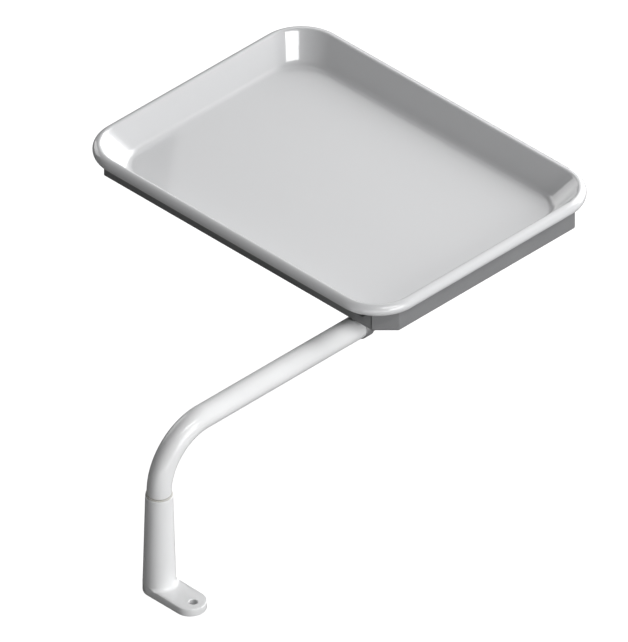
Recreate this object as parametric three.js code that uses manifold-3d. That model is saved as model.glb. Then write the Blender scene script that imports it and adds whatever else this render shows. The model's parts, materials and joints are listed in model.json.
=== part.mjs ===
// A dental instrument tray lying in a holder, on a bent tube arm that swivels on a post with a one-hole foot.
// Millimetres, +Z up. The origin is the centre of the foot's hole, on the foot's underside.
// +X runs along the tray's long side, and +Y is the way the arm reaches.
import * as THREE from 'three';
import { mergeVertices } from 'three/addons/utils/BufferGeometryUtils.js';
import Module from 'manifold-3d';

const wasm = await Module();
wasm.setup();

// ---- Driving dimensions ----
const GAP = 0.3; // between pieces that touch

const FOOT = { thickness: 6.8, radius: 13.3, endX: -3.5, holeRadius: 3.3, fillet: 3 };
const POST = { x: -37.5, topZ: 91, topRadius: 11, baseRadius: 13.3, boreRadius: 8.8, boreFloorZ: 30 };
const SPIGOT = { radius: 7, grooveRadius: 5.6, grooveZ: 60, grooveHalfWidth: 2.5, boss: 6.8, bossLength: 9 };
const STOP = { turn: 150, screwRadius: 2.5, dogRadius: 1.5, outer: 11.4, shoulder: 7.6, socket: 2.5 };
const SEAM_RING = { thickness: 1, radius: 10.7 };

const ARM = { z: 141.7, radius: 10, wall: 2, bend: 47.5, endY: 227.4 };
const FERRULE = { radius: 10.9, wall: 0.6, length: 8 };
const HUB_SCREW = { y: 205, radius: 2.5, tipDepth: 1.2, socket: 2.5, socketDepth: 1.6 };
const HUB = { y: 258.5, radius: 14.5, bottomZ: 129.7, topZ: 151.4, boreRadius: 8, recessRadius: 10.5, recessZ: 141 };
const STUD = { radius: 6, threadRadius: 3.9, headRadius: 10, headHeight: 1.8, endZ: 131.4, shoulderZ: 140.8 };
const NUT = { acrossFlats: 13, height: 5.5, z: 131.5 };

const TRAY = {
  x: -162.5, y: 324.5, rimZ: 182, length: 340, width: 256, corner: 38.5, rim: 6.5, bead: 5.1, beadSweep: 130,
  depth: 21, wallRun: 14.8, wall: 2, floorFillet: 6, floorCornerLoss: 2,
};
const HOLDER = {
  length: 328.6, width: 227, chamfer: 15.4, wall: 2, bottomZ: 152.9, endTopZ: 173, sideTopZ: 162.2, notchHalf: 149,
};
const PLATE = { radius: 26, thickness: 2, rivetCircle: 20.5 };
const RIVET = { radius: 2, headRadius: 3.6, headHeight: 1.4 };
const PAD = { radius: 9, topZ: 158.7, chamfer: 0.8, x: 75, y: 88 };

const HOLDER_FLOOR_Z = HOLDER.bottomZ + HOLDER.wall;
const PLATE_Z = HOLDER_FLOOR_Z + GAP;
const PLATE_TOP_Z = PLATE_Z + PLATE.thickness;

// ---- Materials ----
const finish = (color, roughness, metalness) => new THREE.MeshStandardMaterial({ color, roughness, metalness });
const trayPlastic = finish(0xd8d9db, 0.3, 0);
const holderPaint = finish(0x808184, 0.5, 0.2);
const armPaint = finish(0xf2f3f4, 0.35, 0);
const steel = finish(0xc4c6c8, 0.3, 1);
const nylon = finish(0xd6d4cc, 0.6, 0);
const rubber = finish(0x2c2d2f, 0.9, 0);

// ---- Solids ----
// A closed geometry as a solid, with shared vertices merged, slivers dropped and faces pointing out.
function solid(geometry) {
  const bare = geometry.clone();
  bare.deleteAttribute('normal');
  bare.deleteAttribute('uv');
  const merged = mergeVertices(bare, 1e-4);
  const at = (i) => new THREE.Vector3().fromBufferAttribute(merged.attributes.position, i);
  const corners = merged.index.array;
  const kept = [];
  let volume = 0;
  for (let i = 0; i < corners.length; i += 3) {
    const [a, b, c] = corners.slice(i, i + 3);
    if (a === b || b === c || c === a) continue;
    kept.push([a, b, c]);
    volume += at(a).dot(at(b).cross(at(c)));
  }
  const faces = volume > 0 ? kept : kept.map(([a, b, c]) => [a, c, b]);
  return new wasm.Manifold(new wasm.Mesh({
    numProp: 3,
    vertProperties: new Float32Array(merged.attributes.position.array),
    triVerts: new Uint32Array(faces.flat()),
  }));
}

function named(name, body, material) {
  const { vertProperties, triVerts } = body.getMesh();
  const geometry = new THREE.BufferGeometry();
  geometry.setAttribute('position', new THREE.BufferAttribute(vertProperties, 3));
  geometry.setIndex(new THREE.BufferAttribute(triVerts, 1));
  geometry.computeVertexNormals();
  const mesh = new THREE.Mesh(geometry, material);
  mesh.name = name;
  return mesh;
}

// A piece turned about the vertical line at (x, y), from a profile of [radius, z] points.
function turned(profile, x, y, segments = 32) {
  const points = profile.map(([radius, z]) => new THREE.Vector2(radius, z));
  const geometry = new THREE.LatheGeometry(points, segments);
  geometry.rotateX(Math.PI / 2);
  geometry.translate(x, y, 0);
  return solid(geometry);
}

// A full disc or cylinder, and a ring, between two heights.
const disc = (radius, low, high, x, y, segments) =>
  turned([[0, low], [radius, low], [radius, high], [0, high]], x, y, segments);
const ring = (inner, outer, low, high, x, y, segments) =>
  turned([[inner, low], [outer, low], [outer, high], [inner, high], [inner, low]], x, y, segments);

// A cylinder along Y, between two values of y.
function rod(radius, nearY, farY, x, z, segments = 32) {
  const geometry = new THREE.CylinderGeometry(radius, radius, farY - nearY, segments);
  geometry.translate(x, (nearY + farY) / 2, z);
  return solid(geometry);
}

function block(low, high) {
  const size = high.map((value, i) => value - low[i]);
  const geometry = new THREE.BoxGeometry(...size);
  geometry.translate(...low.map((value, i) => value + size[i] / 2));
  return solid(geometry);
}

// A flat outline raised from one height to another.
function raised(shape, low, high, curveSegments = 12) {
  const geometry = new THREE.ExtrudeGeometry(shape, { depth: high - low, bevelEnabled: false, curveSegments });
  geometry.translate(0, 0, low);
  return solid(geometry);
}

function hexagon(acrossFlats) {
  const radius = acrossFlats / Math.sqrt(3);
  const corner = (i) => [radius * Math.cos(i * Math.PI / 3), radius * Math.sin(i * Math.PI / 3)];
  return new THREE.Shape([0, 1, 2, 3, 4, 5].map((i) => new THREE.Vector2(...corner(i))));
}

// An open polyline of [x, y, radius] points, with an arc at each corner that has a radius.
function roundedLine(points) {
  const line = [];
  points.forEach(([x, y, radius, steps], i) => {
    const corner = new THREE.Vector2(x, y);
    if (!radius) {
      line.push(corner);
      return;
    }
    const [back, ahead] = [i - 1, i + 1].map((j) => new THREE.Vector2(...points[j]).sub(corner).normalize());
    const half = back.angleTo(ahead) / 2;
    const centre = back.clone().add(ahead).setLength(radius / Math.sin(half)).add(corner);
    const from = back.clone().multiplyScalar(radius / Math.tan(half)).add(corner).sub(centre);
    const sweep = Math.sign(back.cross(ahead)) * (2 * half - Math.PI);
    for (let k = 0; k <= steps; k += 1) {
      line.push(from.clone().rotateAround(new THREE.Vector2(), sweep * k / steps).add(centre));
    }
  });
  return line;
}

// A closed ring of points: a rectangle with rounded corners, about (x, y).
function roundedRing(length, width, corner, x, y, z, cornerSteps = 8) {
  const points = [];
  for (let side = 0; side < 4; side += 1) {
    const along = [1, -1, -1, 1][side] * (length / 2 - corner);
    const across = [1, 1, -1, -1][side] * (width / 2 - corner);
    for (let k = 0; k <= cornerSteps; k += 1) {
      const angle = (side + k / cornerSteps) * Math.PI / 2;
      points.push([x + along + corner * Math.cos(angle), y + across + corner * Math.sin(angle), z]);
    }
  }
  return points;
}

// A closed skin through rings of equal count, with a flat fan over the first and the last ring.
function loft(rings) {
  const count = rings[0].length;
  const middle = (points) => [0, 1, 2].map((axis) => points.reduce((sum, p) => sum + p[axis], 0) / points.length);
  const positions = [...rings.flat(), middle(rings[0]), middle(rings.at(-1))];
  const [firstMiddle, lastMiddle] = [positions.length - 2, positions.length - 1];
  const index = [];
  for (let i = 0; i < count; i += 1) {
    const next = (i + 1) % count;
    for (let r = 0; r < rings.length - 1; r += 1) {
      const [low, high] = [r * count, (r + 1) * count];
      index.push(low + i, low + next, high + next, low + i, high + next, high + i);
    }
    const last = (rings.length - 1) * count;
    index.push(next, i, firstMiddle, last + i, last + next, lastMiddle);
  }
  const geometry = new THREE.BufferGeometry();
  geometry.setAttribute('position', new THREE.Float32BufferAttribute(positions.flat(), 3));
  geometry.setIndex(index);
  return solid(geometry);
}

// ---- Base: post, foot and what the arm turns in ----
function footPost() {
  const plan = new THREE.Shape();
  plan.absarc(FOOT.endX, 0, FOOT.radius, -Math.PI / 2, Math.PI / 2);
  plan.absarc(POST.x, 0, FOOT.radius, Math.PI / 2, Math.PI * 3 / 2);
  const flare = roundedLine([
    [FOOT.radius + 2 * FOOT.fillet, FOOT.thickness],
    [POST.baseRadius, FOOT.thickness, FOOT.fillet, 4],
    [POST.topRadius, POST.topZ],
  ]);
  const shaft = turned([[0, 0], [flare[0].x, 0], ...flare.map((p) => [p.x, p.y]), [0, POST.topZ]], POST.x, 0, 40);
  return raised(plan, 0, FOOT.thickness, 14)
    .add(shaft.intersect(raised(plan, 0, POST.topZ + 1, 14)))
    .subtract(disc(FOOT.holeRadius, -1, FOOT.thickness + 1, 0, 0, 24))
    .subtract(disc(POST.boreRadius, POST.boreFloorZ, POST.topZ + 1, POST.x, 0))
    .subtract(crossRod(STOP.screwRadius + GAP, POST.baseRadius, 0));
}

// A cylinder that lies along X in the post's far side, between two distances from the post's axis.
function crossRod(radius, far, near) {
  const geometry = new THREE.CylinderGeometry(radius, radius, far - near, 20);
  geometry.rotateZ(Math.PI / 2);
  geometry.translate(POST.x - (far + near) / 2, 0, SPIGOT.grooveZ);
  return solid(geometry);
}

// The grub screw, with its dog in the spigot's groove and a hexagon socket in its outer end.
function stopScrew() {
  const socket = raised(hexagon(STOP.socket), 0, STOP.socket)
    .rotate([0, 90, 0])
    .translate([POST.x - STOP.outer - 0.5, 0, SPIGOT.grooveZ]);
  return crossRod(STOP.screwRadius, STOP.outer, STOP.shoulder)
    .add(crossRod(STOP.dogRadius, STOP.shoulder + 0.5, SPIGOT.grooveRadius + GAP))
    .subtract(socket);
}

const BUSH = { inner: SPIGOT.radius + GAP, outer: POST.boreRadius - GAP };

function upperBush() {
  const low = POST.topZ + GAP;
  const high = low + SEAM_RING.thickness;
  return turned([
    [BUSH.inner, low - 15], [BUSH.outer, low - 15], [BUSH.outer, low],
    [SEAM_RING.radius, low], [SEAM_RING.radius, high], [BUSH.inner, high], [BUSH.inner, low - 15],
  ], POST.x, 0);
}

const lowerBush = () => ring(BUSH.inner, BUSH.outer, POST.boreFloorZ + 4, POST.boreFloorZ + 16, POST.x, 0);
const thrustWasher = () => disc(BUSH.outer - GAP, POST.boreFloorZ + GAP, POST.boreFloorZ + 2, POST.x, 0);

// ---- Arm ----
// The tube's centreline: up from the post, round the bend and along +Y, measured along its length.
class ArmLine extends THREE.Curve {
  constructor(startZ) {
    super();
    this.startZ = startZ;
    this.rise = ARM.z - ARM.bend - startZ;
    this.turn = ARM.bend * Math.PI / 2;
    this.length = this.rise + this.turn + ARM.endY - ARM.bend;
  }

  getPoint(t, target = new THREE.Vector3()) {
    const along = t * this.length;
    if (along <= this.rise) return target.set(POST.x, 0, this.startZ + along);
    if (along >= this.rise + this.turn) {
      return target.set(POST.x, ARM.bend + along - this.rise - this.turn, ARM.z);
    }
    const angle = (along - this.rise) / ARM.bend;
    return target.set(POST.x, ARM.bend * (1 - Math.cos(angle)), ARM.z - ARM.bend * (1 - Math.sin(angle)));
  }
}

const TUBE_Z = POST.topZ + SEAM_RING.thickness + 2 * GAP;

function armTube() {
  const section = new THREE.Shape().absarc(0, 0, ARM.radius, 0, Math.PI * 2);
  section.holes.push(new THREE.Path().absarc(0, 0, ARM.radius - ARM.wall, 0, Math.PI * 2));
  const extrudePath = new ArmLine(TUBE_Z);
  return solid(new THREE.ExtrudeGeometry(section, { extrudePath, steps: 34, curveSegments: 11 }));
}

// The turned pin in the tube's end. Its groove stops short of a full turn, so the stop screw limits the swivel.
function armSpigot() {
  const low = POST.boreFloorZ + 2 + GAP;
  const shoulderZ = TUBE_Z + GAP;
  const pin = turned([
    [0, low], [SPIGOT.radius - 1, low], [SPIGOT.radius, low + 1], [SPIGOT.radius, shoulderZ],
    [SPIGOT.boss, shoulderZ], [SPIGOT.boss, shoulderZ + SPIGOT.bossLength], [0, shoulderZ + SPIGOT.bossLength],
  ], POST.x, 0);
  const { grooveRadius, grooveZ, grooveHalfWidth } = SPIGOT;
  const groove = ring(grooveRadius, SPIGOT.radius + 1, grooveZ - grooveHalfWidth, grooveZ + grooveHalfWidth, POST.x, 0);
  const keyHalfWidth = SPIGOT.radius * Math.sin(THREE.MathUtils.degToRad(180 - STOP.turn) / 2) - STOP.dogRadius / 2;
  const key = block(
    [POST.x, -keyHalfWidth, grooveZ - 5],
    [POST.x + SPIGOT.radius + 2, keyHalfWidth, grooveZ + 5],
  );
  return pin.subtract(groove.subtract(key));
}

const FERRULE_Y = ARM.endY - FERRULE.length;

function tubeFerrule() {
  const outer = rod(FERRULE.radius, FERRULE_Y, ARM.endY, POST.x, ARM.z);
  return outer.subtract(rod(FERRULE.radius - FERRULE.wall, FERRULE_Y - 1, ARM.endY + 1, POST.x, ARM.z));
}

// The casting in the tube's end: a spigot, a short boss behind the ferrule, and an upright barrel for the stud.
function pivotHub() {
  const barrel = turned([
    [0, HUB.bottomZ], [HUB.radius - 1, HUB.bottomZ], [HUB.radius, HUB.bottomZ + 1],
    [HUB.radius, HUB.topZ - 1], [HUB.radius - 1, HUB.topZ], [0, HUB.topZ],
  ], POST.x, HUB.y, 40);
  const bossTop = Math.min(FERRULE.radius, HUB.topZ - ARM.z);
  return barrel
    .add(rod(bossTop, ARM.endY + GAP, HUB.y, POST.x, ARM.z))
    .add(rod(ARM.radius - ARM.wall - GAP, ARM.endY - 24, HUB.y, POST.x, ARM.z))
    .subtract(disc(HUB.boreRadius, HUB.bottomZ - 1, HUB.topZ + 1, POST.x, HUB.y))
    .subtract(disc(HUB.recessRadius, HUB.bottomZ - 1, HUB.recessZ, POST.x, HUB.y));
}

// The grub screw comes up through the tube's underside into a dimple in the hub's spigot.
// With a margin, its body is the hole that it sits in.
function hubScrewBody(margin) {
  const bottom = ARM.z - ARM.radius;
  const top = bottom + ARM.wall + GAP + HUB_SCREW.tipDepth;
  return disc(HUB_SCREW.radius + margin, bottom - margin, top + margin, POST.x, HUB_SCREW.y, 20);
}

function hubScrew() {
  const bottom = ARM.z - ARM.radius;
  const socket = raised(hexagon(HUB_SCREW.socket), bottom - 1, bottom + HUB_SCREW.socketDepth);
  return hubScrewBody(0).subtract(socket.translate([POST.x, HUB_SCREW.y, 0]));
}

const hubBush = () =>
  ring(STUD.radius + GAP, HUB.boreRadius - GAP, HUB.recessZ + GAP, HUB.topZ - GAP, POST.x, HUB.y);

function hubCap() {
  const [outer, lipRadius] = [HUB.recessRadius - GAP, HUB.recessRadius + 1.2];
  const [bottom, lipTop, inside, top] = [HUB.bottomZ - 1.2, HUB.bottomZ - GAP, HUB.bottomZ + 0.9, HUB.bottomZ + 5];
  return turned([
    [0, bottom], [lipRadius - 0.6, bottom], [lipRadius, bottom + 0.5], [lipRadius, lipTop], [outer, lipTop],
    [outer, top], [outer - 1.4, top], [outer - 1.4, inside], [0, inside],
  ], POST.x, HUB.y);
}

// ---- Holder ----
// The pan's plan, with 45 degree corners, drawn in from its outside by some inset.
function panPlan(inset) {
  const [x, y] = [HOLDER.length / 2 - inset, HOLDER.width / 2 - inset];
  const cut = HOLDER.chamfer - inset * (2 - Math.SQRT2);
  const quarter = [[x, y - cut], [x - cut, y]];
  const corners = [
    ...quarter,
    ...quarter.map(([a, b]) => [-a, b]).reverse(),
    ...quarter.map(([a, b]) => [-a, -b]),
    ...quarter.map(([a, b]) => [a, -b]).reverse(),
  ];
  return new THREE.Shape(corners.map(([a, b]) => new THREE.Vector2(TRAY.x + a, TRAY.y + b)));
}

function holderPan() {
  const pan = raised(panPlan(0), HOLDER.bottomZ, HOLDER.endTopZ)
    .subtract(raised(panPlan(HOLDER.wall), HOLDER_FLOOR_Z, HOLDER.endTopZ + 1));
  const notch = block(
    [TRAY.x - HOLDER.notchHalf, TRAY.y - HOLDER.width, HOLDER.sideTopZ],
    [TRAY.x + HOLDER.notchHalf, TRAY.y + HOLDER.width, HOLDER.endTopZ + 1],
  );
  const drilled = pan.subtract(notch)
    .subtract(disc(STUD.radius + GAP, HOLDER.bottomZ - 1, HOLDER_FLOOR_Z + 1, POST.x, HUB.y));
  return rivetPlaces().reduce((body, [x, y]) => body.subtract(rivetBody(x, y, GAP)), drilled);
}

const rivetPlaces = () => [0, 1, 2, 3].map((i) => {
  const angle = Math.PI / 4 + i * Math.PI / 2;
  return [POST.x + PLATE.rivetCircle * Math.cos(angle), HUB.y + PLATE.rivetCircle * Math.sin(angle)];
});

// A rivet with a flush cone at each end. The margin turns it into the hole that it sits in.
function rivetBody(x, y, margin) {
  const [low, high] = [HOLDER.bottomZ, PLATE_TOP_Z];
  const [shank, head] = [RIVET.radius + margin, RIVET.headRadius + margin];
  return turned([
    [0, low - margin], [head, low - margin], [head, low], [shank, low + RIVET.headHeight],
    [shank, high - RIVET.headHeight], [head, high], [head, high + margin], [0, high + margin],
  ], x, y, 16);
}

function hubPlate() {
  const plate = disc(PLATE.radius, PLATE_Z, PLATE_TOP_Z, POST.x, HUB.y, 48);
  const shank = STUD.radius + GAP;
  const head = STUD.headRadius + GAP;
  const seat = turned([
    [0, PLATE_Z - 1], [shank, PLATE_Z - 1], [shank, PLATE_TOP_Z - STUD.headHeight],
    [head, PLATE_TOP_Z], [head, PLATE_TOP_Z + 1], [0, PLATE_TOP_Z + 1],
  ], POST.x, HUB.y);
  return rivetPlaces().reduce((body, [x, y]) => body.subtract(rivetBody(x, y, GAP)), plate.subtract(seat));
}

const pivotStud = () => turned([
  [0, STUD.endZ], [STUD.threadRadius - 0.8, STUD.endZ], [STUD.threadRadius, STUD.endZ + 0.8],
  [STUD.threadRadius, STUD.shoulderZ], [STUD.radius, STUD.shoulderZ],
  [STUD.radius, PLATE_TOP_Z - STUD.headHeight], [STUD.headRadius, PLATE_TOP_Z], [0, PLATE_TOP_Z],
], POST.x, HUB.y);

const frictionWasher = () =>
  ring(STUD.radius + GAP, HUB.radius - 2, HUB.topZ + GAP, HOLDER.bottomZ - GAP, POST.x, HUB.y);

// A cone spring that bears up on the hub's recess.
function springWasher() {
  const [inner, outer, thickness, lift] = [STUD.threadRadius + GAP, 9.6, 0.8, 0.8];
  const top = HUB.recessZ - GAP;
  return turned([
    [inner, top - thickness], [outer, top - thickness - lift], [outer, top - lift], [inner, top],
    [inner, top - thickness],
  ], POST.x, HUB.y);
}

const flatWasher = () =>
  ring(STUD.threadRadius + GAP, 8.4, NUT.z + NUT.height + GAP, NUT.z + NUT.height + 1.5, POST.x, HUB.y);

function lockNut() {
  const [low, high] = [NUT.z, NUT.z + NUT.height];
  const tip = NUT.acrossFlats / Math.sqrt(3);
  const chamfered = turned([
    [0, low], [tip - 1, low], [tip, low + 0.7], [tip, high - 0.7], [tip - 1, high], [0, high],
  ], 0, 0, 36);
  return raised(hexagon(NUT.acrossFlats), low, high)
    .intersect(chamfered)
    .subtract(disc(STUD.threadRadius + GAP, low - 1, high + 1, 0, 0, 24))
    .translate([POST.x, HUB.y, 0]);
}

function trayPad(x, y) {
  const low = HOLDER_FLOOR_Z + GAP;
  return turned([
    [0, low], [PAD.radius, low], [PAD.radius, PAD.topZ - PAD.chamfer],
    [PAD.radius - PAD.chamfer, PAD.topZ], [0, PAD.topZ],
  ], x, y, 24);
}

// ---- Tray ----
// An arc of the rim's rolled bead, between two angles in degrees from straight up, going outwards and under.
function beadArc(radius, from, to, steps) {
  return Array.from({ length: steps + 1 }, (_, k) => {
    const angle = THREE.MathUtils.degToRad(from + (to - from) * k / steps);
    return [TRAY.bead - radius * Math.sin(angle), radius * Math.cos(angle) - TRAY.bead];
  });
}

// One wall all round: its profile is [distance in from the rim's outside, height], from the underside to the floor.
function tray() {
  const { rim, bead, beadSweep, depth, wall, wallRun, floorFillet } = TRAY;
  const slope = wallRun / depth;
  const outerWall = (drop) => rim + slope * drop - wall * Math.hypot(1, slope);
  const floorEdge = rim + wallRun + 14;
  const profile = roundedLine([
    [floorEdge, -depth - wall],
    [outerWall(depth + wall), -depth - wall, floorFillet + wall, 4],
    [outerWall(wall), -wall],
    ...beadArc(bead - wall, 0, beadSweep, 7),
    ...beadArc(bead, beadSweep, 0, 10),
    [rim, 0, 2.2, 3],
    [rim + wallRun, -depth, floorFillet, 4],
    [floorEdge, -depth],
  ]);
  const cornerAt = (inset) =>
    (inset < rim ? TRAY.corner - inset : TRAY.corner - rim - TRAY.floorCornerLoss * (inset - rim) / wallRun);
  return loft(profile.map(({ x: inset, y: height }) => roundedRing(
    TRAY.length - 2 * inset, TRAY.width - 2 * inset, cornerAt(inset), TRAY.x, TRAY.y, TRAY.rimZ + height,
  )));
}

// ---- Assembly ----
const group = new THREE.Group();
const screwHole = hubScrewBody(GAP);

group.add(
  named('foot_post', footPost(), armPaint),
  named('upper_bush', upperBush(), nylon),
  named('lower_bush', lowerBush(), nylon),
  named('thrust_washer', thrustWasher(), nylon),
  named('stop_screw', stopScrew(), steel),
  named('arm_tube', armTube().subtract(screwHole), armPaint),
  named('arm_spigot', armSpigot(), steel),
  named('tube_ferrule', tubeFerrule(), steel),
  named('pivot_hub', pivotHub().subtract(screwHole), armPaint),
  named('hub_screw', hubScrew(), steel),
  named('hub_bush', hubBush(), nylon),
  named('hub_cap', hubCap(), nylon),
  named('holder_pan', holderPan(), holderPaint),
  named('hub_plate', hubPlate(), steel),
  named('pivot_stud', pivotStud(), steel),
  named('friction_washer', frictionWasher(), nylon),
  named('spring_washer', springWasher(), steel),
  named('flat_washer', flatWasher(), steel),
  named('lock_nut', lockNut(), steel),
  named('tray', tray(), trayPlastic),
);
rivetPlaces().forEach(([x, y], i) => group.add(named(`plate_rivet_${i + 1}`, rivetBody(x, y, 0), steel)));
[[1, 1], [-1, 1], [-1, -1], [1, -1]].forEach(([along, across], i) => {
  group.add(named(`tray_pad_${i + 1}`, trayPad(TRAY.x + along * PAD.x, TRAY.y + across * PAD.y), rubber));
});

export default group;
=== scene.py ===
"""Looks of the dental tray on its swivel arm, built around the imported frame. Metres, +Z up."""

import json
import math

import bmesh
import bpy
from mathutils import Matrix, Quaternion, Vector


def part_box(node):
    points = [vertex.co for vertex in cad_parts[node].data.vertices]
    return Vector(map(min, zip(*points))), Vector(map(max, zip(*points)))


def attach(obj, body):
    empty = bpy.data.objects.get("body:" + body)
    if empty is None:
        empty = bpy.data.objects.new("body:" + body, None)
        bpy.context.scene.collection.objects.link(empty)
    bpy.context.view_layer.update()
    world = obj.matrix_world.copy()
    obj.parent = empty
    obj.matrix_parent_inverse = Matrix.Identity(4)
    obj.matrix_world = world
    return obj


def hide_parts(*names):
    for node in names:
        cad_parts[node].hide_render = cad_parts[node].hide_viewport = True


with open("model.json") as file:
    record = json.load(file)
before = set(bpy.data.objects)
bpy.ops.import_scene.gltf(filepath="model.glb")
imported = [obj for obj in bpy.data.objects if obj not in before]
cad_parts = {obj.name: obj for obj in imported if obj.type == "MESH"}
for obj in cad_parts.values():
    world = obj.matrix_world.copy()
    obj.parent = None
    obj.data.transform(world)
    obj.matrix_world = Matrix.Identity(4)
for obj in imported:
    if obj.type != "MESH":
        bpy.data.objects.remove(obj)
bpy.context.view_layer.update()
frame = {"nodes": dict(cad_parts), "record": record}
MM = 0.001


# ---- Measures taken from the frame ----
def size_of(node):
    low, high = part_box(node)
    return high - low


def centre_of(node):
    low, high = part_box(node)
    return (low + high) / 2


def top_of(node):
    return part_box(node)[1].z


def bottom_of(node):
    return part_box(node)[0].z


POST = centre_of("arm_spigot").xy
HUB = centre_of("pivot_stud").xy
TRAY = centre_of("tray").xy
RIM_Z = top_of("tray")
PAN_Z = bottom_of("holder_pan")
TUBE_RADIUS = size_of("arm_tube").x / 2
ARM_Z = top_of("arm_tube") - TUBE_RADIUS


# ---- Mesh helpers ----
def new_piece(name, points, faces, smooth_angle=35):
    mesh = bpy.data.meshes.new(name)
    mesh.from_pydata([tuple(p) for p in points], [], faces)
    piece = bpy.data.objects.new(name, mesh)
    bpy.context.scene.collection.objects.link(piece)
    clean(piece)
    shade(piece, smooth_angle)
    return piece


def clean(piece):
    """Merges doubled points, drops empty faces and turns every face outwards."""
    work = bmesh.new()
    work.from_mesh(piece.data)
    bmesh.ops.remove_doubles(work, verts=work.verts, dist=2e-6)
    bmesh.ops.dissolve_degenerate(work, edges=work.edges, dist=1e-7)
    bmesh.ops.recalc_face_normals(work, faces=work.faces)
    work.to_mesh(piece.data)
    work.free()


def shade(piece, angle):
    """Smooth faces, with sharp edges kept where faces meet at more than the angle in degrees."""
    piece.data.polygons.foreach_set("use_smooth", [True] * len(piece.data.polygons))
    piece.data.set_sharp_from_angle(angle=math.radians(angle))


def skin(rings, cap_first=True, cap_last=True, close=False):
    """Points and faces of a surface through rings of equal count."""
    count = len(rings[0])
    points = [p for ring in rings for p in ring]
    faces = []
    last = len(rings) if close else len(rings) - 1
    for r in range(last):
        low = r * count
        high = (r + 1) % len(rings) * count
        for i in range(count):
            j = (i + 1) % count
            faces.append((low + i, low + j, high + j, high + i))
    if not close and cap_first:
        faces.append(tuple(range(count))[::-1])
    if not close and cap_last:
        faces.append(tuple(range(len(points) - count, len(points))))
    return points, faces


def rounded_line(points):
    """A polyline of (x, y) points, where a third number rounds that corner by an arc of the radius."""
    line = []
    for i, point in enumerate(points):
        corner = Vector(point[:2])
        if len(point) == 2:
            line.append(corner)
            continue
        radius = point[2]
        back = (Vector(points[i - 1][:2]) - corner).normalized()
        ahead = (Vector(points[i + 1][:2]) - corner).normalized()
        half = back.angle(ahead) / 2
        centre = corner + (back + ahead).normalized() * radius / math.sin(half)
        arm = corner + back * radius / math.tan(half) - centre
        turn = math.pi - 2 * half
        sweep = turn if back.x * ahead.y - back.y * ahead.x < 0 else -turn
        steps = max(4, math.ceil(turn / math.radians(11)))
        for k in range(steps + 1):
            line.append(centre + Matrix.Rotation(sweep * k / steps, 2) @ arm)
    return line


def supported(line, reach):
    """The line with a point added a little way along each long stretch, so that flat faces stay flat."""
    made = [line[0]]
    for a, b in zip(line, line[1:]):
        if (b - a).length > 3 * reach:
            step = (b - a).normalized() * reach
            made += [a + step, b - step]
        made.append(b)
    return made


def turned(name, profile, axis, segments=72, smooth_angle=35):
    """A piece turned about the vertical line at axis, from a closed profile of (radius, z) points."""
    rings = []
    for radius, z in profile:
        angles = [2 * math.pi * k / segments for k in range(segments)]
        rings.append([(axis[0] + radius * math.cos(t), axis[1] + radius * math.sin(t), z) for t in angles])
    whole = profile[0][0] > 0
    points, faces = skin(rings, cap_first=False, cap_last=False, close=whole)
    return new_piece(name, points, faces, smooth_angle)


def cut(piece, tool, operation="DIFFERENCE", smooth_angle=35):
    """Cuts or joins one piece with another, which is used up."""
    modifier = piece.modifiers.new("cut", "BOOLEAN")
    modifier.operation = operation
    modifier.solver = "EXACT"
    modifier.object = tool
    bake(piece)
    bpy.data.objects.remove(tool)
    clean(piece)
    shade(piece, smooth_angle)


def bake(piece):
    """Applies a piece's modifiers to its mesh."""
    graph = bpy.context.evaluated_depsgraph_get()
    mesh = bpy.data.meshes.new_from_object(piece.evaluated_get(graph))
    piece.modifiers.clear()
    piece.data = mesh


def finished(piece, node, material):
    """Hangs a piece on its node's body in place of the node, with its finish."""
    piece.data.materials.clear()
    piece.data.materials.append(material)
    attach(piece, body_of_node[node])
    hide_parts(node)
    return piece


behaviour = frame["record"]["behaviour"]
body_of_node = {node: body for body, nodes in behaviour["bodies"].items() for node in nodes}
slot_of_node = {row["node"]: row["material_slot"] for row in frame["record"]["subparts"]}


# ---- Materials ----
NOISE_LOW = 0.3
NOISE_HIGH = 0.7


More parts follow.
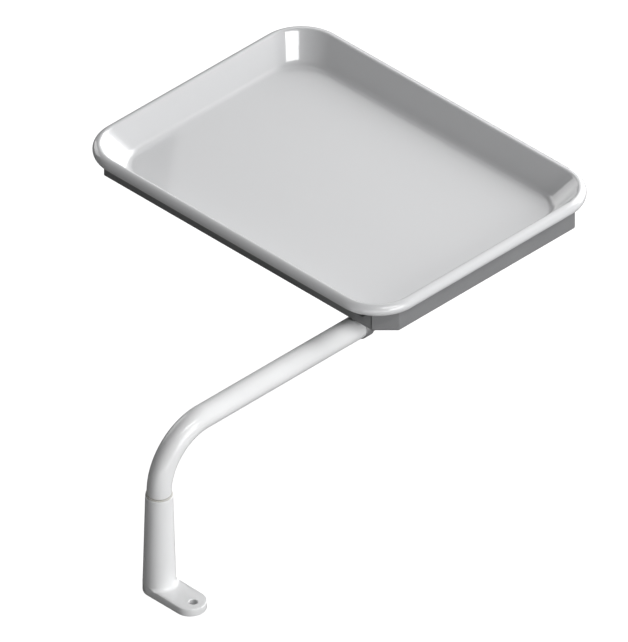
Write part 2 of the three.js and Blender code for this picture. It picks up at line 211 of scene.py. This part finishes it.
class Finish:
    """A Principled material with a few helpers for its procedural detail."""

    def __init__(self, name, color, roughness, **constants):
        self.material = bpy.data.materials.new(name)
        self.material.use_nodes = True
        self.nodes = self.material.node_tree.nodes
        self.links = self.material.node_tree.links
        self.shader = self.nodes["Principled BSDF"]
        self.place = self.nodes.new("ShaderNodeTexCoord").outputs["Object"]
        self.normal = None
        self.set("Base Color", (*color, 1))
        self.set("Roughness", roughness)
        for socket, value in constants.items():
            self.set(socket.replace("_", " "), value)

    def set(self, socket, value):
        self.shader.inputs[socket].default_value = value

    def noise(self, scale, detail, stretch=(1, 1, 1)):
        """Fractal noise over the piece, at a number of features per metre."""
        place = self.nodes.new("ShaderNodeMapping")
        place.inputs["Scale"].default_value = stretch
        self.links.new(self.place, place.inputs["Vector"])
        node = self.nodes.new("ShaderNodeTexNoise")
        node.inputs["Scale"].default_value = scale
        node.inputs["Detail"].default_value = detail
        self.links.new(place.outputs["Vector"], node.inputs["Vector"])
        return node.outputs["Fac"]

    def spread(self, value, low, high):
        """Maps the usual range of a noise to another range."""
        node = self.nodes.new("ShaderNodeMapRange")
        node.inputs["From Min"].default_value = NOISE_LOW
        node.inputs["From Max"].default_value = NOISE_HIGH
        node.inputs["To Min"].default_value = low
        node.inputs["To Max"].default_value = high
        self.links.new(value, node.inputs["Value"])
        return node.outputs["Result"]

    def tint(self, value, dark, light):
        """Base colour that drifts between two colours."""
        mix = self.nodes.new("ShaderNodeMix")
        mix.data_type = "RGBA"
        mix.inputs["A"].default_value = (*dark, 1)
        mix.inputs["B"].default_value = (*light, 1)
        self.links.new(value, mix.inputs["Factor"])
        self.links.new(mix.outputs["Result"], self.shader.inputs["Base Color"])

    def gloss(self, value, low, high):
        """Roughness that drifts between two values."""
        self.links.new(self.spread(value, low, high), self.shader.inputs["Roughness"])

    def bump(self, value, height, strength=1.0):
        """Relief, in metres of height. A second one is laid over the first."""
        node = self.nodes.new("ShaderNodeBump")
        node.inputs["Distance"].default_value = height
        node.inputs["Strength"].default_value = strength
        self.links.new(value, node.inputs["Height"])
        if self.normal:
            self.links.new(self.normal, node.inputs["Normal"])
        self.normal = node.outputs["Normal"]
        self.links.new(self.normal, self.shader.inputs["Normal"])


def tray_plastic():
    """Glossy moulded plastic: faint flow marks, a gloss that drifts a little and a fine moulded skin."""
    finish = Finish("tray_plastic", (0.72, 0.725, 0.735), 0.3, Coat_Weight=1.0, Coat_Roughness=0.04)
    flow = finish.noise(9, 4, (1, 1.6, 1))
    finish.tint(finish.spread(flow, 0, 1), (0.716, 0.721, 0.731), (0.724, 0.729, 0.739))
    finish.gloss(finish.noise(60, 5), 0.29, 0.33)
    finish.bump(finish.noise(1400, 2), 0.00002, 0.25)
    return finish.material


def holder_paint():
    """Grey powder coat with its orange peel."""
    finish = Finish("holder_paint", (0.24, 0.242, 0.248), 0.48)
    finish.tint(finish.spread(finish.noise(40, 5), 0, 1), (0.228, 0.23, 0.236), (0.252, 0.254, 0.26))
    finish.gloss(finish.noise(220, 4), 0.42, 0.55)
    finish.bump(finish.noise(900, 3), 0.00006, 0.5)
    return finish.material


def arm_paint():
    """White enamel with a light orange peel."""
    finish = Finish("arm_paint", (0.86, 0.865, 0.87), 0.3, Coat_Weight=0.35, Coat_Roughness=0.1)
    finish.tint(finish.spread(finish.noise(30, 4), 0, 1), (0.845, 0.85, 0.855), (0.875, 0.88, 0.885))
    finish.gloss(finish.noise(180, 4), 0.29, 0.37)
    finish.bump(finish.noise(420, 2), 0.00005, 0.3)
    return finish.material


def steel():
    """Bright turned steel with fine tool marks."""
    finish = Finish("steel", (0.62, 0.62, 0.63), 0.25, Metallic=1.0)
    finish.gloss(finish.noise(500, 5, (1, 1, 6)), 0.38, 0.52)
    finish.bump(finish.noise(2500, 2, (0.15, 0.15, 1)), 0.00001, 0.3)
    return finish.material


def nylon():
    """Moulded nylon in its natural off-white."""
    finish = Finish("nylon", (0.68, 0.67, 0.63), 0.5)
    finish.tint(finish.spread(finish.noise(90, 4), 0, 1), (0.66, 0.65, 0.605), (0.70, 0.69, 0.655))
    finish.gloss(finish.noise(300, 4), 0.42, 0.6)
    finish.bump(finish.noise(1800, 2), 0.00002, 0.4)
    return finish.material


def pad_rubber():
    """Black rubber with a fine matt grain."""
    finish = Finish("pad_rubber", (0.035, 0.035, 0.036), 0.8)
    finish.gloss(finish.noise(400, 4), 0.7, 0.9)
    finish.bump(finish.noise(1500, 3), 0.00008, 0.5)
    return finish.material


MATERIALS = {
    make.__name__: make()
    for make in (tray_plastic, holder_paint, arm_paint, steel, nylon, pad_rubber)
}


# ---- Tray ----
RIM = 6.5 * MM
RIM_FILLET = 2.4 * MM
BEAD = 5.1 * MM
BEAD_SWEEP = 130
WALL = 2 * MM
CORNER = 38.5 * MM
WALL_RUN = 14.8 * MM
FLOOR_FILLET = 6 * MM
CORNER_LOSS = 2 * MM
FLOOR_MARGIN = 14 * MM  # of flat floor between the wall's foot and the profile's end


def rounded_ring(length, width, corner, centre, z, steps=20):
    """A rectangle with rounded corners, with a point close to each arc's ends."""
    ring = []
    guard = 1.5 * MM
    for side, (sx, sy) in enumerate([(1, 1), (-1, 1), (-1, -1), (1, -1)]):
        middle = Vector((centre[0] + sx * (length / 2 - corner), centre[1] + sy * (width / 2 - corner)))
        arc = []
        for k in range(steps + 1):
            angle = (side + k / steps) * math.pi / 2
            arc.append(middle + corner * Vector((math.cos(angle), math.sin(angle))))
        start = Vector((math.cos((side - 1) * math.pi / 2), math.sin((side - 1) * math.pi / 2)))
        end = Vector((math.cos((side + 2) * math.pi / 2), math.sin((side + 2) * math.pi / 2)))
        ring += [arc[0] + guard * start, *arc, arc[-1] + guard * end]
    return [(p.x, p.y, z) for p in ring]


def bead_arc(radius, start, end, steps):
    """An arc of the rim's rolled bead, going outwards and under.

    The start and end are angles in degrees from straight up.
    """
    angles = [math.radians(start + (end - start) * k / steps) for k in range(steps + 1)]
    return [(BEAD - radius * math.sin(t), radius * math.cos(t) - BEAD) for t in angles]


def tray():
    """One wall all round: a rolled rim, sloped walls and a flat floor."""
    size = size_of("tray")
    depth = size.z - WALL
    slope = WALL_RUN / depth

    def outer(drop):
        return RIM + slope * drop - WALL * math.hypot(1, slope)

    floor_edge = RIM + WALL_RUN + FLOOR_MARGIN
    profile = rounded_line([
        (floor_edge, -depth - WALL),
        (outer(depth + WALL), -depth - WALL, FLOOR_FILLET + WALL),
        (outer(WALL), -WALL),
        *bead_arc(BEAD - WALL, 0, BEAD_SWEEP, 14),
        *bead_arc(BEAD, BEAD_SWEEP, 0, 22),
        (RIM, 0, RIM_FILLET),
        (RIM + WALL_RUN, -depth, FLOOR_FILLET),
        (floor_edge, -depth),
    ])
    rings = []
    for inset, height in supported(profile, 0.6 * MM):
        loss = 0 if inset < RIM else CORNER_LOSS * (inset - RIM) / WALL_RUN
        corner = CORNER - min(inset, RIM) - loss
        rings.append(rounded_ring(size.x - 2 * inset, size.y - 2 * inset, corner, TRAY, RIM_Z + height))
    return new_piece("moulded_tray", *skin(rings), 50)


finished(tray(), "tray", MATERIALS["tray_plastic"])


# ---- Holder ----
PAN_WALL = 2 * MM
PAN_CUT = 15.4 * MM
PAN_BEND = 2.6 * MM
NOTCH_HALF = 149 * MM
NOTCH_SLOPE = 11 * MM
SIDE_TOP = 9.3 * MM
EDGE_STEPS = 6  # round the wall's top edge
RIVET_HOLE = 2.2 * MM
RIVET_SINK = 1.4 * MM
RIVET_PLAY = 0.15 * MM
STUD_HOLE_SHARE = 0.42  # of the friction washer's radius


def pan_outline(inset, bend):
    """The pan's plan drawn in by an inset, with every 45 degree corner bent round."""
    size = size_of("holder_pan")
    x = size.x / 2 - inset
    y = size.y / 2 - inset
    cut_back = PAN_CUT - inset * (2 - math.sqrt(2))
    quarter = [(x, y - cut_back), (x - cut_back, y)]
    corners = []
    for sx, sy in [(1, 1), (-1, 1), (-1, -1), (1, -1)]:
        pair = [(sx * a, sy * b) for a, b in quarter]
        corners += pair if sx * sy > 0 else pair[::-1]
    looped = [corners[-1], *[(*c, bend) for c in corners], corners[0]]
    return rounded_line(looped)[1:-1]


def notched(line, step=1.2 * MM):
    """The outline with points added along the stretches where the wall's top edge falls and rises."""
    made = []
    for a, b in zip(line, line[1:] + line[:1]):
        made.append(a)
        along = b - a
        if abs(along.x) < 2 * NOTCH_HALF * 0.9:
            continue
        low = NOTCH_HALF - NOTCH_SLOPE
        count = round(NOTCH_SLOPE / step)
        marks = [low + NOTCH_SLOPE * k / count for k in range(count + 1)]
        stops = sorted([-m for m in marks] + marks)
        if along.x < 0:
            stops.reverse()
        made += [Vector((stop, a.y)) for stop in stops]
    return made


def pan_top(point):
    """Height of the pan's edge above its underside.

    It is low along the long sides, with a smooth rise at each end.
    """
    high = size_of("holder_pan").z
    reach = (abs(point.x) - (NOTCH_HALF - NOTCH_SLOPE)) / NOTCH_SLOPE
    blend = min(1, max(0, reach))
    return SIDE_TOP + (high - SIDE_TOP) * blend * blend * (3 - 2 * blend)


def holder_pan():
    """The folded pan, with an eased top edge and its stud and rivet holes."""
    edge = 0.6 * MM
    outer_bend = 1.8 * MM
    profile = rounded_line([
        (12 * MM, 0), (0, 0, PAN_BEND), (0, 6 * MM),
    ])
    inner = rounded_line([
        (PAN_WALL, 6 * MM), (PAN_WALL, PAN_WALL, PAN_BEND - 1 * MM), (12 * MM, PAN_WALL),
    ])
    rings = []

    def add(inset, height, from_top=False):
        line = notched(pan_outline(inset, max(0.3 * MM, outer_bend - inset * 0.5)))
        rings.append([
            (TRAY.x + p.x, TRAY.y + p.y, PAN_Z + (pan_top(p) if from_top else 0) + height) for p in line
        ])

    for inset, height in profile[:-1]:
        add(inset, height)
    add(0, -1.4 * edge, True)
    for k in range(EDGE_STEPS + 1):
        angle = math.pi * k / EDGE_STEPS
        add(PAN_WALL / 2 * (1 - math.cos(angle)), edge * (math.sin(angle) - 1), True)
    add(PAN_WALL, -1.4 * edge, True)
    for inset, height in inner[1:]:
        add(inset, height)
    pan = new_piece("folded_pan", *skin(rings), 40)
    below = PAN_Z - MM
    above = PAN_Z + 3 * MM
    stud = size_of("friction_washer").x / 2 * STUD_HOLE_SHARE
    cut(pan, turned("hole", [(0, below), (stud, below), (stud, above), (0, above)], HUB))
    for k in range(4):
        centre = centre_of(f"plate_rivet_{k + 1}").xy
        radius = size_of(f"plate_rivet_{k + 1}").x / 2 + RIVET_PLAY
        hole = turned("hole", [
            (0, below), (radius, below), (radius, PAN_Z), (RIVET_HOLE, PAN_Z + RIVET_SINK),
            (RIVET_HOLE, above), (0, above),
        ], centre, 40)
        cut(pan, hole)
    return pan


finished(holder_pan(), "holder_pan", MATERIALS["holder_paint"])


# ---- Arm ----
ARM_BEND = 47.5 * MM
ARM_WALL = 2 * MM
BEND_STEPS = 48
TUBE_SIDES = 72


def arm_tube():
    """The bent tube, with its edges eased, swept along its centreline."""
    low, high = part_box("arm_tube")
    start_z = low.z
    inner = TUBE_RADIUS - ARM_WALL
    stations = []
    for z in (start_z, start_z + 0.5 * MM, ARM_Z - ARM_BEND):
        stations.append((Vector((POST.x, POST.y, z)), 0.0))
    for k in range(1, BEND_STEPS + 1):
        angle = math.pi / 2 * k / BEND_STEPS
        along = ARM_BEND * (1 - math.cos(angle))
        up = ARM_Z - ARM_BEND * (1 - math.sin(angle))
        stations.append((Vector((POST.x, POST.y + along, up)), angle))
    for y in (POST.y + ARM_BEND + 4 * MM, high.y - 4 * MM, high.y - 0.5 * MM, high.y):
        stations.append((Vector((POST.x, y, ARM_Z)), math.pi / 2))

    def ring(station, radius):
        centre, angle = station
        side = Vector((1, 0, 0))
        over = Vector((0, math.cos(angle), -math.sin(angle)))
        turns = [2 * math.pi * k / TUBE_SIDES for k in range(TUBE_SIDES)]
        return [centre + radius * (math.cos(t) * side + math.sin(t) * over) for t in turns]

    ease = 0.35 * MM
    rings = [ring(stations[0], TUBE_RADIUS - ease)]
    rings += [ring(station, TUBE_RADIUS) for station in stations[1:-1]]
    rings += [ring(stations[-1], TUBE_RADIUS - ease)]
    rings += [ring(station, inner) for station in reversed(stations)]
    return new_piece("bent_tube", *skin(rings, close=True), 40)


finished(arm_tube(), "arm_tube", MATERIALS["arm_paint"])


# ---- Base ----
FOOT_TOP = 6.8 * MM
FOOT_END_X = -3.5 * MM
FOOT_FILLET = 3 * MM
FOOT_HOLE = 3.3 * MM
POST_TOP_RADIUS = 11 * MM
POST_BORE = 8.8 * MM
POST_BORE_FLOOR = 30 * MM


def foot_post():
    """The post and its foot as one casting, with a fillet where the post stands on the foot."""
    low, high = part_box("foot_post")
    half = size_of("foot_post").y / 2
    top = high.z
    around = 48
    plan = []
    for k in range(2 * around):
        angle = math.pi / 2 - math.pi * k / around
        direction = Vector((math.cos(angle), math.sin(angle)))
        front = k <= around
        centre = Vector((FOOT_END_X if front else POST.x, 0))
        plan.append((centre + half * direction, direction, front))

    def level(z, edge_inset, edge_drop):
        ring = []
        for point, direction, front in plan:
            share = 1 if front else 0
            p = point - direction * edge_inset * share
            ring.append((p.x, p.y, z - edge_drop * share))
        return ring

    rings = []
    for inset, z in [(0.6, 0), (0.18, 0.15), (0, 0.6)]:
        rings.append([(p.x - d.x * inset * MM, p.y - d.y * inset * MM, z * MM) for p, d, _ in plan])
    ease = 1.1 * MM
    for k in range(7):
        angle = math.pi / 2 * k / 6
        rings.append(level(FOOT_TOP, ease * (1 - math.cos(angle)), ease * (1 - math.sin(angle))))

    wall = rounded_line([
        (half + 2 * FOOT_FILLET, FOOT_TOP), (half, FOOT_TOP, FOOT_FILLET),
        (POST_TOP_RADIUS, top, 0.8 * MM), (POST_BORE, top, 0.5 * MM), (POST_BORE, POST_BORE_FLOOR),
    ])
    for radius, z in wall[1:]:
        ring = []
        for _, direction, front in plan:
            reach = radius
            if front and abs(direction.y) > 1e-6 and z < top - 5 * MM and radius > half * 0.9:
                reach = min(radius, (half - ease * (z < FOOT_TOP + 0.01 * MM)) / abs(direction.y))
            if not front:
                reach = min(radius, half)
            ring.append((POST.x + reach * direction.x, reach * direction.y, z))
        rings.append(ring)
    casting = new_piece("foot_casting", *skin(rings), 40)
    chamfer = 0.5 * MM
    mouth = FOOT_HOLE + chamfer + MM
    cut(casting, turned("hole", [
        (0, -MM), (mouth, -MM), (FOOT_HOLE, chamfer), (FOOT_HOLE, FOOT_TOP - chamfer),
        (mouth, FOOT_TOP + MM), (0, FOOT_TOP + MM),
    ], (0, 0), 64), smooth_angle=30)
    return casting


finished(foot_post(), "foot_post", MATERIALS["arm_paint"])


# ---- Pieces that keep their CAD shape ----
def keep(node):
    """A CAD node that stays, with its finish."""
    part = frame["nodes"][node]
    part.data.materials.clear()
    part.data.materials.append(MATERIALS[slot_of_node[node]])
    modifier = part.modifiers.new("ease", "BEVEL")
    modifier.width = 0.15 * MM
    modifier.segments = 2
    modifier.limit_method = "ANGLE"
    modifier.angle_limit = math.radians(40)
    modifier.harden_normals = True


for node in frame["nodes"]:
    if not frame["nodes"][node].hide_render:
        keep(node)


# ---- Stage ----
def white_floor():
    """A plain pale floor: matt to the lights, and bright to the eye."""
    reach = 45
    mesh = bpy.data.meshes.new("floor")
    z = -0.3 * MM
    corners = [(-reach, -reach, z), (reach, -reach, z), (reach, reach, z), (-reach, reach, z)]
    mesh.from_pydata(corners, [], [(0, 1, 2, 3)])
    floor = bpy.data.objects.new("floor", mesh)
    bpy.context.scene.collection.objects.link(floor)
    material = bpy.data.materials.new("floor")
    material.use_nodes = True
    nodes = material.node_tree.nodes
    links = material.node_tree.links
    nodes.clear()
    matt = nodes.new("ShaderNodeBsdfDiffuse")
    matt.inputs["Color"].default_value = (0.2, 0.2, 0.2, 1)
    pale = nodes.new("ShaderNodeBsdfDiffuse")
    pale.inputs["Color"].default_value = (0.14, 0.14, 0.14, 1)
    glow = nodes.new("ShaderNodeEmission")
    glow.inputs["Strength"].default_value = 1.0
    both = nodes.new("ShaderNodeAddShader")
    mix = nodes.new("ShaderNodeMixShader")
    seen = nodes.new("ShaderNodeLightPath")
    out = nodes.new("ShaderNodeOutputMaterial")
    links.new(pale.outputs[0], both.inputs[0])
    links.new(glow.outputs[0], both.inputs[1])
    links.new(seen.outputs["Is Camera Ray"], mix.inputs[0])
    links.new(matt.outputs[0], mix.inputs[1])
    links.new(both.outputs[0], mix.inputs[2])
    links.new(mix.outputs[0], out.inputs["Surface"])
    mesh.materials.append(material)


def sky(strength):
    """White where the camera sees past the floor, and of the given strength for every other ray."""
    world = bpy.data.worlds.new("world")
    bpy.context.scene.world = world
    world.use_nodes = True
    nodes = world.node_tree.nodes
    links = world.node_tree.links
    back = nodes["Background"]
    back.inputs["Color"].default_value = (1, 1, 1, 1)
    back.inputs["Strength"].default_value = strength
    bright = nodes.new("ShaderNodeBackground")
    bright.inputs["Strength"].default_value = 1
    mix = nodes.new("ShaderNodeMixShader")
    seen = nodes.new("ShaderNodeLightPath")
    links.new(seen.outputs["Is Camera Ray"], mix.inputs[0])
    links.new(back.outputs[0], mix.inputs[1])
    links.new(bright.outputs[0], mix.inputs[2])
    links.new(mix.outputs[0], nodes["World Output"].inputs["Surface"])


def softbox(name, azimuth, elevation, distance, size, level, roll=0):
    """A rectangular lamp aimed at the object. Azimuth 0 is towards +X and 90 towards +Y.

    The level is what it adds to a white face square to it. Roll turns it about its aim.
    """
    light = bpy.data.lights.new(name, "AREA")
    light.shape = "RECTANGLE"
    light.size, light.size_y = size
    light.energy = level * math.pi ** 2 * distance ** 2
    lamp = bpy.data.objects.new(name, light)
    bpy.context.scene.collection.objects.link(lamp)
    across, up = math.radians(azimuth), math.radians(elevation)
    aim = Vector((math.cos(across) * math.cos(up), math.sin(across) * math.cos(up), math.sin(up)))
    lamp.location = LOOK_AT + aim * distance
    lamp.rotation_mode = "QUATERNION"
    lamp.rotation_quaternion = (-aim).to_track_quat("-Z", "Y") @ Quaternion((0, 0, 1), math.radians(roll))
    lamp.visible_camera = False


LOOK_AT = Vector((-117.7, 251.5, 90.3)) * MM
CAMERA_AZIMUTH = 44.96
CAMERA_ELEVATION = 35.47
CAMERA_DISTANCE = 23.174
LENS = 1650


def camera():
    """A very long lens at the photograph's corner, so that parallel edges stay parallel."""
    data = bpy.data.cameras.new("camera")
    data.lens = LENS
    data.sensor_width = 36
    data.clip_end = 100
    eye = bpy.data.objects.new("camera", data)
    bpy.context.scene.collection.objects.link(eye)
    across, up = math.radians(CAMERA_AZIMUTH), math.radians(CAMERA_ELEVATION)
    back = Vector((math.sin(across) * math.cos(up), -math.cos(across) * math.cos(up), math.sin(up)))
    eye.location = LOOK_AT + back * CAMERA_DISTANCE
    eye.rotation_mode = "QUATERNION"
    eye.rotation_quaternion = (-back).to_track_quat("-Z", "Y")
    bpy.context.scene.camera = eye


white_floor()
sky(0.0)
softbox("back", 90, 29, 2.2, (1.8, 1.6), 0.66)
softbox("back_low", 90, 0, 1.5, (1.6, 0.4), 0.45)
softbox("back_left", 120, 35, 2.2, (1.2, 1.2), 0.1)
softbox("back_right", 78, 28, 2.2, (1.6, 1.6), 0.24)
softbox("left", 180, 20, 2.2, (1.2, 1.2), 0.22)
softbox("right", 0, 20, 2.2, (1.2, 1.2), 0.42)
softbox("right_low", 0, 0, 2.2, (1.6, 0.8), 0.18)
softbox("front_low", -45, 0, 1.5, (1.6, 0.14), 0.19)
softbox("strip", -7.7, 55, 2.15, (1.15, 0.34), 0.29, -22)
camera()
bpy.context.scene.view_settings.view_transform = "Standard"
